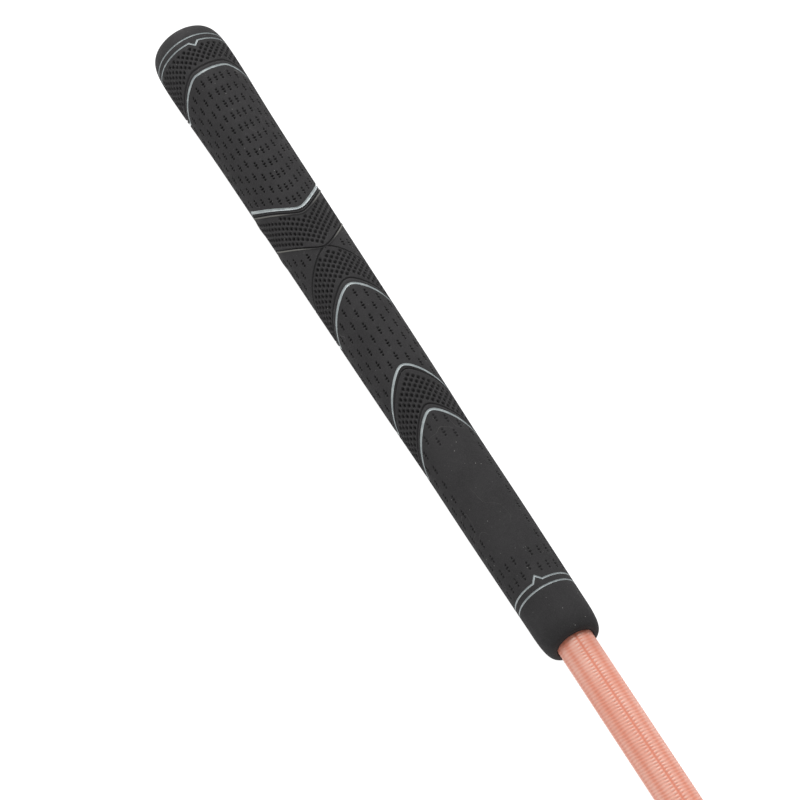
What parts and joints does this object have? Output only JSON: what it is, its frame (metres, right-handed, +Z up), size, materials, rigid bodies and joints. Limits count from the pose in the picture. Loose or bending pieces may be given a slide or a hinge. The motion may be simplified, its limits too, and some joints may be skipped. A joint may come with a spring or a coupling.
{
  "type": "riding crop",
  "caption": "Riding crop with a patterned rubber grip, a thread-covered tapering shaft and a stitched leather keeper that bends at its neck.",
  "frame": {"origin": "middle of the crop's outline, on the flat surface that it lies on", "axes": "+X from the butt towards the keeper, along the surface; +Z up; the keeper lies flat, its width along Y"},
  "size_m": [0.6502, 0.036, 0.0259],
  "materials": {
    "grip_rubber": "matt moulded rubber with fine pits",
    "line_paint": "silver-grey paint in a moulded groove",
    "tape": "double-sided paper tape",
    "tube": "plain extruded plastic",
    "rod": "drawn glass fibre",
    "padding": "cotton wrapping",
    "cover_thread": "tight coral thread with a soft sheen",
    "binding_thread": "waxed coral thread",
    "leather": "black grained leather",
    "stiffener": "plain undyed leather",
    "sewing_thread": "waxed coral thread"
  },
  "bodies": {
    "shaft": {"grip_sleeve": "grip_rubber", "plain_ring_butt": "line_paint", "notched_ring_butt": "line_paint", "arch_line_butt": "line_paint", "chevron_line": "line_paint", "arch_line_upper": "line_paint", "arch_line_lower": "line_paint", "arch_line_mouth": "line_paint", "notched_ring_mouth": "line_paint", "plain_ring_mouth": "line_paint", "grip_tape": "tape", "handle_tube": "tube", "core_rod": "rod", "shaft_padding": "padding", "thread_cover": "cover_thread", "upper_tongue": "leather", "lower_tongue": "leather", "keeper_binding": "binding_thread"},
    "keeper": {"keeper_upper_leaf": "leather", "keeper_lower_leaf": "leather", "keeper_stiffener": "stiffener", "keeper_stitching": "sewing_thread"}
  },
  "joints": [
    {"name": "keeper_bend", "type": "hinge", "parent": "shaft", "child": "keeper", "pos_m": [0.271, 0, 0.00687], "axis": [0, 1, 0], "range_deg": [-60, 60], "stiffness_Nm_per_rad": 1, "springref_deg": 1}
  ]
}
